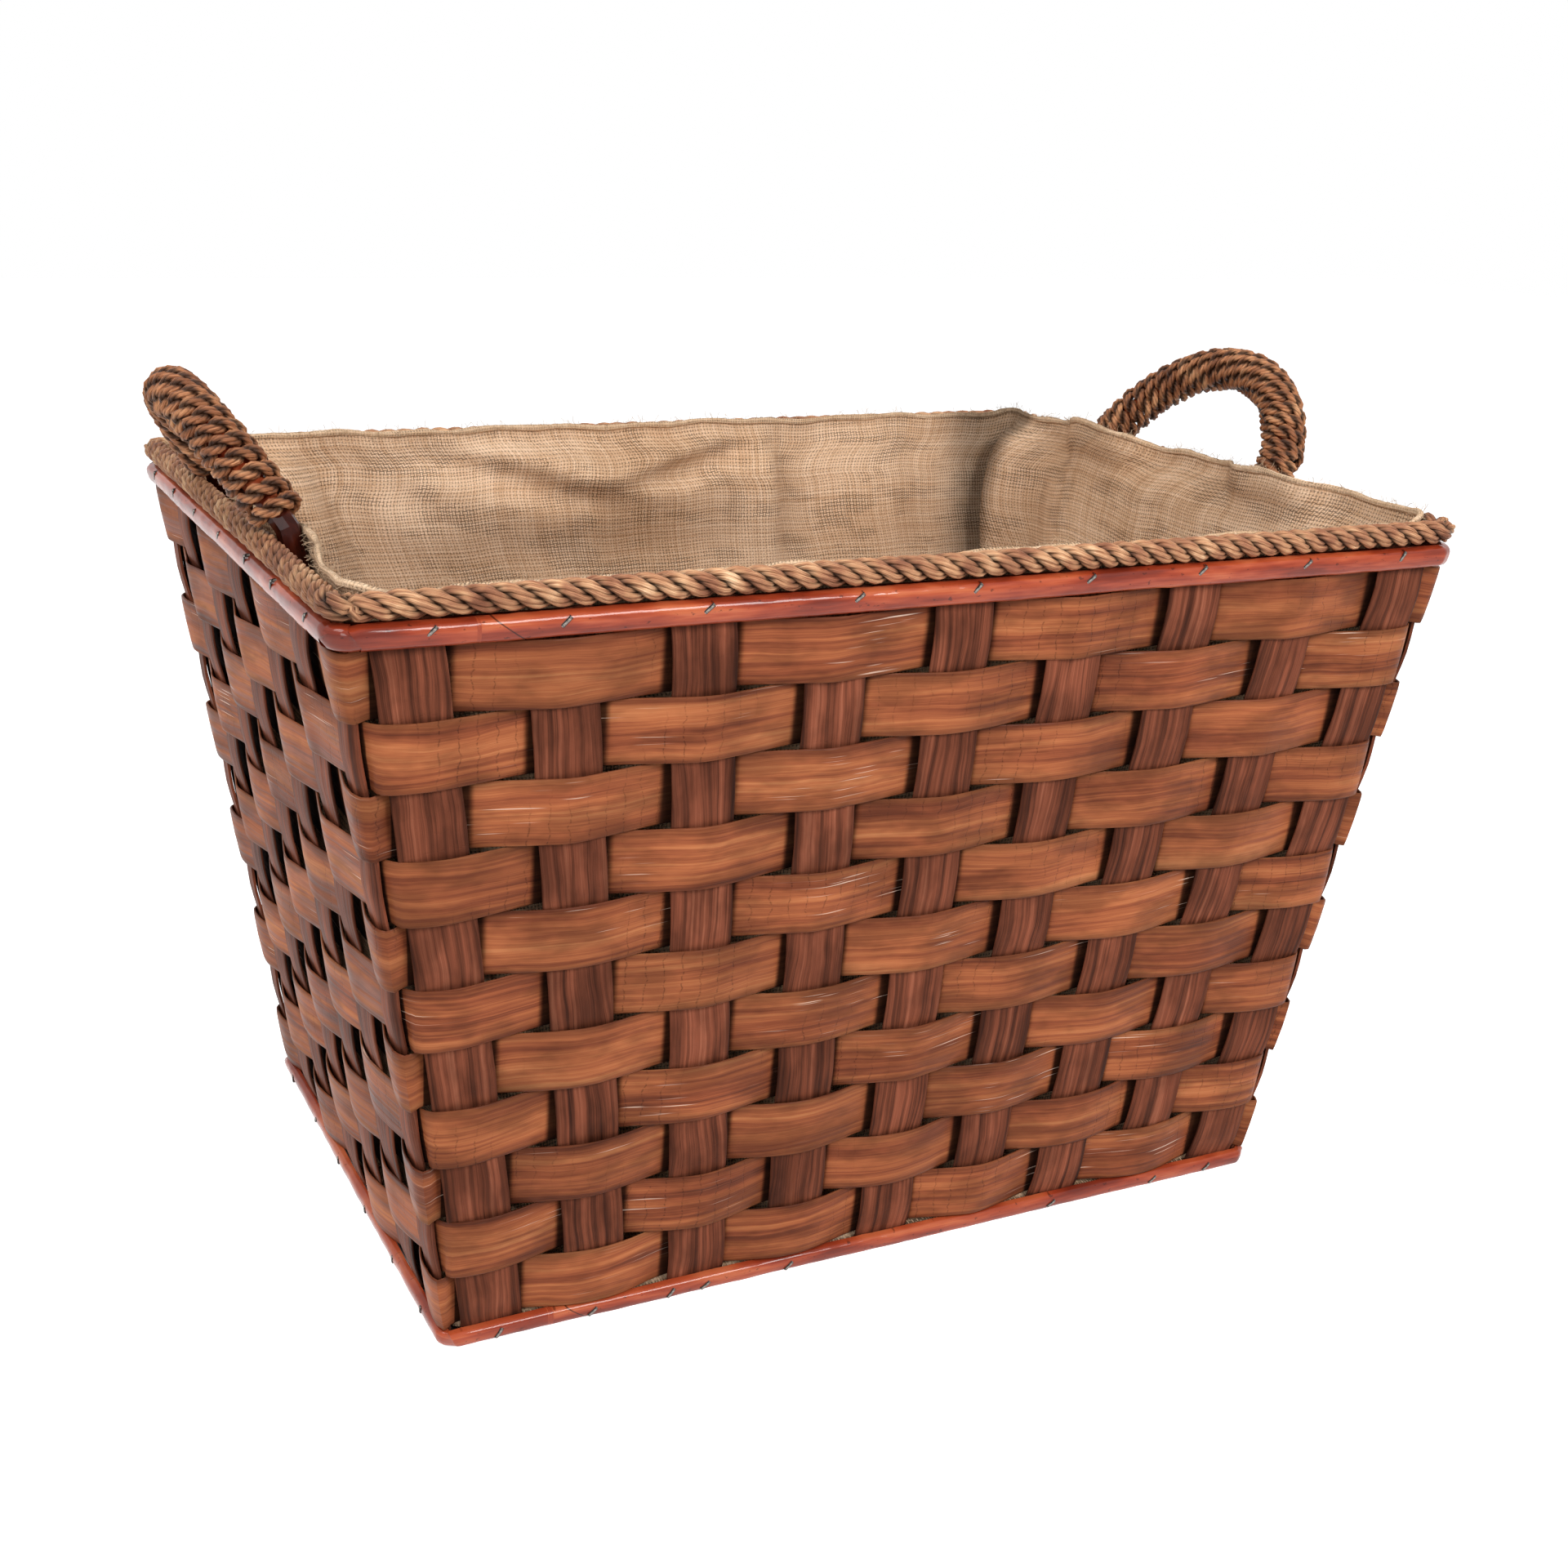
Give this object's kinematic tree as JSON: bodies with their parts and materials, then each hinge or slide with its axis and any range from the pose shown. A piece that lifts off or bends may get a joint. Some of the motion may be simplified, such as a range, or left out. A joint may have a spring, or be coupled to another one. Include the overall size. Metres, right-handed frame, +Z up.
{
  "type": "log basket",
  "caption": "Rectangular tapering basket of woven wood splint with cane bands, a rope rim, a burlap liner and two fixed rope-wound end handles, for firewood logs.",
  "frame": {"origin": "on the floor, under the middle of the basket", "axes": "+Z up, +X along the basket's length towards one handle, -Y towards the long wall that the picture shows"},
  "size_m": [0.6166, 0.409, 0.4258],
  "materials": {
    "stake_splint": "dark stained splint with open vertical grain, satin",
    "weaver_splint": "brown stained splint with lengthwise grain, satin varnish",
    "lacquered_cane": "red-brown lacquered half-round cane, glossy",
    "twisted_rope": "laid natural fibre rope stained brown, dull",
    "burlap": "coarse plain-woven natural burlap, matt"
  },
  "bodies": {
    "root": {"weaver_row_01": "weaver_splint", "weaver_row_02": "weaver_splint", "weaver_row_03": "weaver_splint", "weaver_row_04": "weaver_splint", "weaver_row_05": "weaver_splint", "weaver_row_06": "weaver_splint", "weaver_row_07": "weaver_splint", "weaver_row_08": "weaver_splint", "weaver_row_09": "weaver_splint", "weaver_row_10": "weaver_splint", "weaver_row_11": "weaver_splint", "long_stake_1": "stake_splint", "long_stake_2": "stake_splint", "long_stake_3": "stake_splint", "long_stake_4": "stake_splint", "long_stake_5": "stake_splint", "long_stake_6": "stake_splint", "long_stake_7": "stake_splint", "long_stake_8": "stake_splint", "long_stake_9": "stake_splint", "cross_stake_1": "stake_splint", "cross_stake_2": "stake_splint", "cross_stake_3": "stake_splint", "cross_stake_4": "stake_splint", "cross_stake_5": "stake_splint", "corner_stake_front_right": "stake_splint", "corner_stake_back_right": "stake_splint", "corner_stake_back_left": "stake_splint", "corner_stake_front_left": "stake_splint", "foot_band": "lacquered_cane", "rim_outer_band": "lacquered_cane", "rim_inner_band": "lacquered_cane", "rim_rope": "twisted_rope", "handle_core_left": "lacquered_cane", "handle_core_right": "lacquered_cane", "handle_wrap_left": "twisted_rope", "handle_wrap_right": "twisted_rope", "liner": "burlap"}
  },
  "joints": []
}
